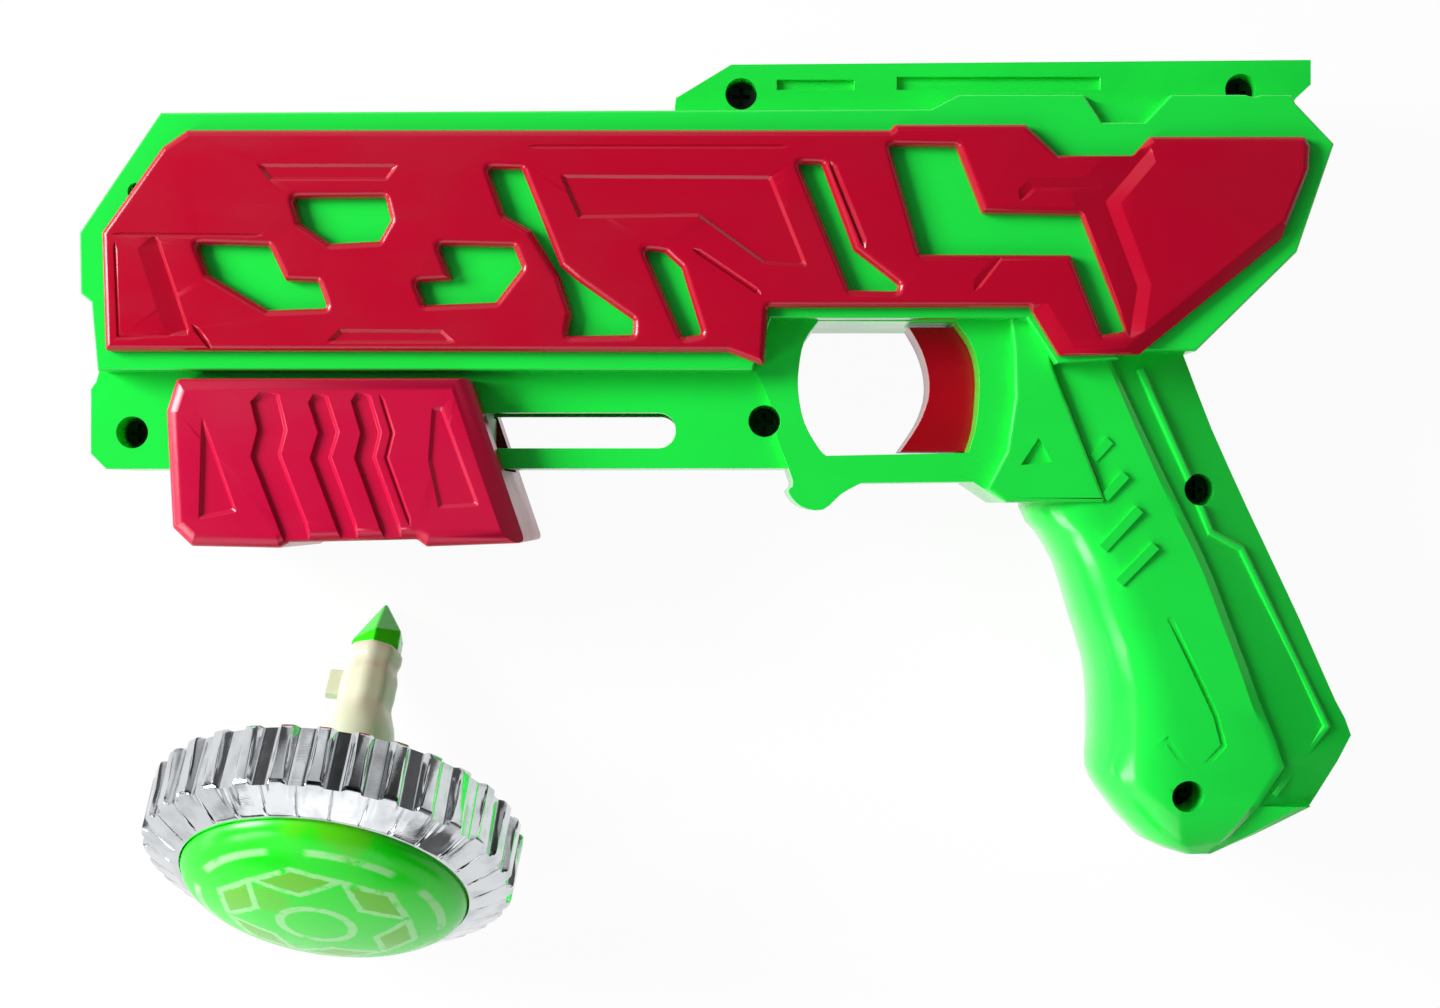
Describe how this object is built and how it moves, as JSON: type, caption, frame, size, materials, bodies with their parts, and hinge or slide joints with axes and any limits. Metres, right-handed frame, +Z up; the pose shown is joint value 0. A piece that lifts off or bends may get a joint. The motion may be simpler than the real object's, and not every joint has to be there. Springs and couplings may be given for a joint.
{
  "type": "spinning top launcher",
  "caption": "Toy launcher with pistol grip, sliding pump, geared chuck and release trigger, with its spinning top lying beside it.",
  "frame": {"origin": "on the flat outer face of the right-hand cover, under the launcher's barrel axis, level with the middle of its length", "axes": "+X towards the tail of the launcher, +Y towards its top rail, +Z up out of its left-hand side; it lies on its right-hand side"},
  "size_m": [0.2138, 0.1552, 0.0566],
  "materials": {
    "housing_green": "glossy moulded plastic",
    "cover_crimson": "glossy moulded plastic",
    "pump_crimson": "glossy moulded plastic",
    "trigger_crimson": "glossy moulded plastic",
    "inner_white": "natural acetal, satin",
    "spring_steel": "drawn spring wire",
    "pin_steel": "ground steel",
    "screw_black": "black oxide",
    "bush_brass": "turned brass",
    "ring_chrome": "chrome plated",
    "dome_green": null,
    "base_green": "glossy moulded plastic",
    "stem_white": "translucent, waxy",
    "tip_green": "glossy, faceted"
  },
  "bodies": {
    "housing": {"left_shell": "housing_green", "right_shell": "housing_green", "left_cover": "cover_crimson", "right_cover": "cover_crimson", "gear_axle": "pin_steel", "axle_clip": "spring_steel", "front_bush": "bush_brass", "rear_bush": "bush_brass", "lever_pin": "pin_steel", "body_screws": "screw_black", "pump_spring": "spring_steel", "ejector_spring": "spring_steel", "trigger_spring": "spring_steel"},
    "pump": {"pump_left": "pump_crimson", "pump_right": "pump_crimson", "pump_carriage": "inner_white", "pump_screws": "screw_black", "rack": "inner_white"},
    "drive_gear": {"drive_gear": "inner_white"},
    "spindle": {"spindle": "inner_white", "chuck": "inner_white"},
    "ejector": {"ejector_rod": "pin_steel"},
    "lever": {"release_lever": "inner_white"},
    "trigger": {"trigger": "trigger_crimson"},
    "top": {"top_ring": "ring_chrome", "top_dome": "dome_green", "top_base": "base_green", "top_stem": "stem_white", "top_tip": "tip_green"}
  },
  "joints": [
    {"name": "pump_slide", "type": "slide", "parent": "housing", "child": "pump", "axis": [1, 0, 0], "range_m": [0, 0.03], "stiffness_N_per_m": 120, "springref_m": -0.01, "deforming": ["pump_spring"]},
    {"name": "drive_gear_spin", "type": "hinge", "parent": "housing", "child": "drive_gear", "pos_m": [-0.058, 0, 0.018], "axis": [0, 0, 1], "range_deg": [0, 287]},
    {"name": "spindle_spin", "type": "hinge", "parent": "housing", "child": "spindle", "pos_m": [-0.068, 0, 0.018], "axis": [1, 0, 0], "range_deg": [-574, 0]},
    {"name": "trigger_pull", "type": "slide", "parent": "housing", "child": "trigger", "axis": [1, 0, 0], "range_m": [0, 0.006], "stiffness_N_per_m": 250, "springref_m": -0.004, "deforming": ["trigger_spring"]},
    {"name": "lever_swing", "type": "hinge", "parent": "housing", "child": "lever", "pos_m": [0.0515, -0.0065, 0.018], "axis": [0, 0, 1], "range_deg": [0, 40.5]},
    {"name": "ejector_slide", "type": "slide", "parent": "housing", "child": "ejector", "axis": [-1, 0, 0], "range_m": [0, 0.0046], "deforming": ["ejector_spring"]},
    {"name": "top_spin", "type": "hinge", "parent": "housing", "child": "top", "pos_m": [-0.061, -0.058, 0], "axis": [0.0847, 0.8055, -0.5865], "continuous": true}
  ],
  "couplings": [
    {"joint": "drive_gear_spin", "follows": "pump_slide", "rad_per_m": 166.67},
    {"joint": "spindle_spin", "follows": "pump_slide", "rad_per_m": -333.33},
    {"joint": "lever_swing", "follows": "trigger_pull", "rad_per_m": 116.36},
    {"joint": "ejector_slide", "follows": "trigger_pull", "ratio": 0.75}
  ]
}
